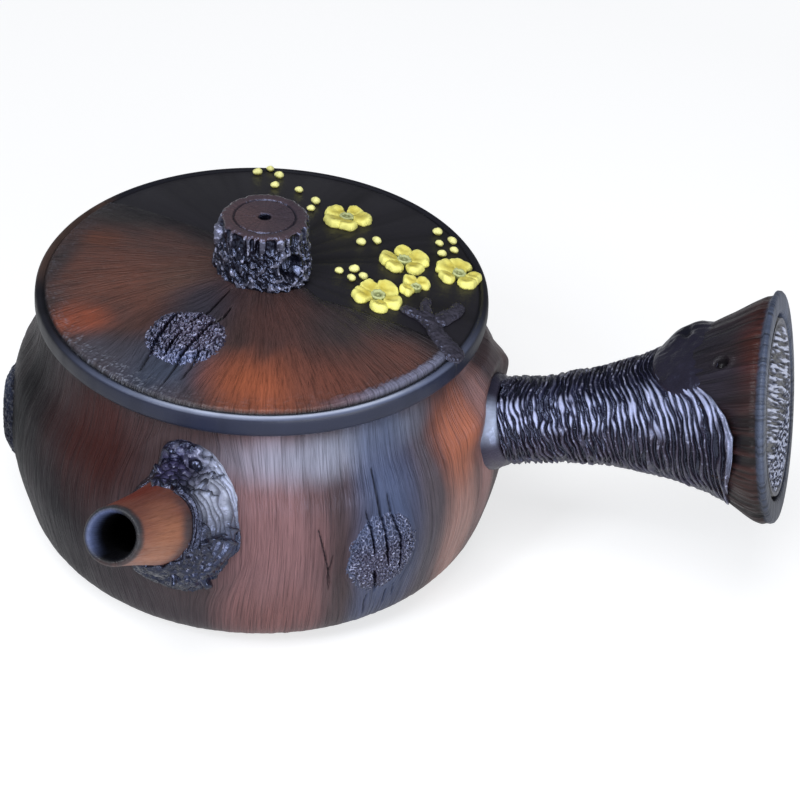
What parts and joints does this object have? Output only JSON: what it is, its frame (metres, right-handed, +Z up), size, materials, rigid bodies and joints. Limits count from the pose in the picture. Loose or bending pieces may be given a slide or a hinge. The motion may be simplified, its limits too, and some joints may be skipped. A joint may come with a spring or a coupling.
{
  "type": "clay teapot",
  "caption": "Round-bellied clay teapot with a hollow side handle, a straight spout, a lift-off lid with a stump knob, and bark and blossom relief.",
  "frame": {"origin": "middle of the flat base, where the pot's own axis meets the surface that it stands on", "axes": "+X towards the side handle, -Y towards the spout, +Z up along the pot's own axis"},
  "size_m": [0.1856, 0.1554, 0.0851],
  "materials": {
    "carved_clay": "satin, carved with fine wood grain, red-brown with charcoal patches",
    "orange_clay": "satin, fine streaks along the spout",
    "bark_clay": "semi-gloss dark bark relief",
    "smooth_clay": "satin, smooth",
    "slate_clay": "satin, hatched in the middle",
    "inner_clay": "matt bare clay",
    "yellow_glaze": "satin glaze",
    "green_glaze": "satin glaze",
    "bud_glaze": "satin glaze"
  },
  "bodies": {
    "pot": {"pot_body": "carved_clay", "spout": "orange_clay", "spout_strainer": "inner_clay", "spout_bark_ring": "bark_clay", "bark_knot_right": "bark_clay", "bark_knot_left": "bark_clay", "handle_root_collar": "smooth_clay", "handle_barrel": "carved_clay", "handle_bark_wrap": "bark_clay", "handle_knot": "bark_clay", "handle_end_disc": "slate_clay"},
    "lid": {"lid_plate": "carved_clay", "lid_flange": "inner_clay", "lid_knob": "bark_clay", "knob_stub_left": "bark_clay", "knob_stub_right": "bark_clay", "lid_bark_knot": "bark_clay", "blossom_branch": "bark_clay", "blossom_1": "yellow_glaze", "blossom_2": "yellow_glaze", "blossom_3": "yellow_glaze", "blossom_4": "yellow_glaze", "blossom_5": "yellow_glaze", "blossom_centre_1": "green_glaze", "blossom_centre_2": "green_glaze", "blossom_centre_3": "green_glaze", "blossom_centre_4": "green_glaze", "blossom_centre_5": "green_glaze", "bud_01": "bud_glaze", "bud_02": "bud_glaze", "bud_03": "bud_glaze", "bud_04": "bud_glaze", "bud_05": "bud_glaze", "bud_06": "bud_glaze", "bud_07": "bud_glaze", "bud_08": "bud_glaze", "bud_09": "bud_glaze", "bud_10": "bud_glaze", "bud_11": "bud_glaze", "bud_12": "bud_glaze", "bud_13": "bud_glaze", "bud_14": "bud_glaze", "bud_15": "bud_glaze", "bud_16": "bud_glaze", "bud_17": "bud_glaze", "bud_18": "bud_glaze"}
  },
  "joints": [
    {"name": "lid_lift", "type": "slide", "parent": "pot", "child": "lid", "axis": [0, 0, 1], "range_m": [0, 0.08]}
  ]
}
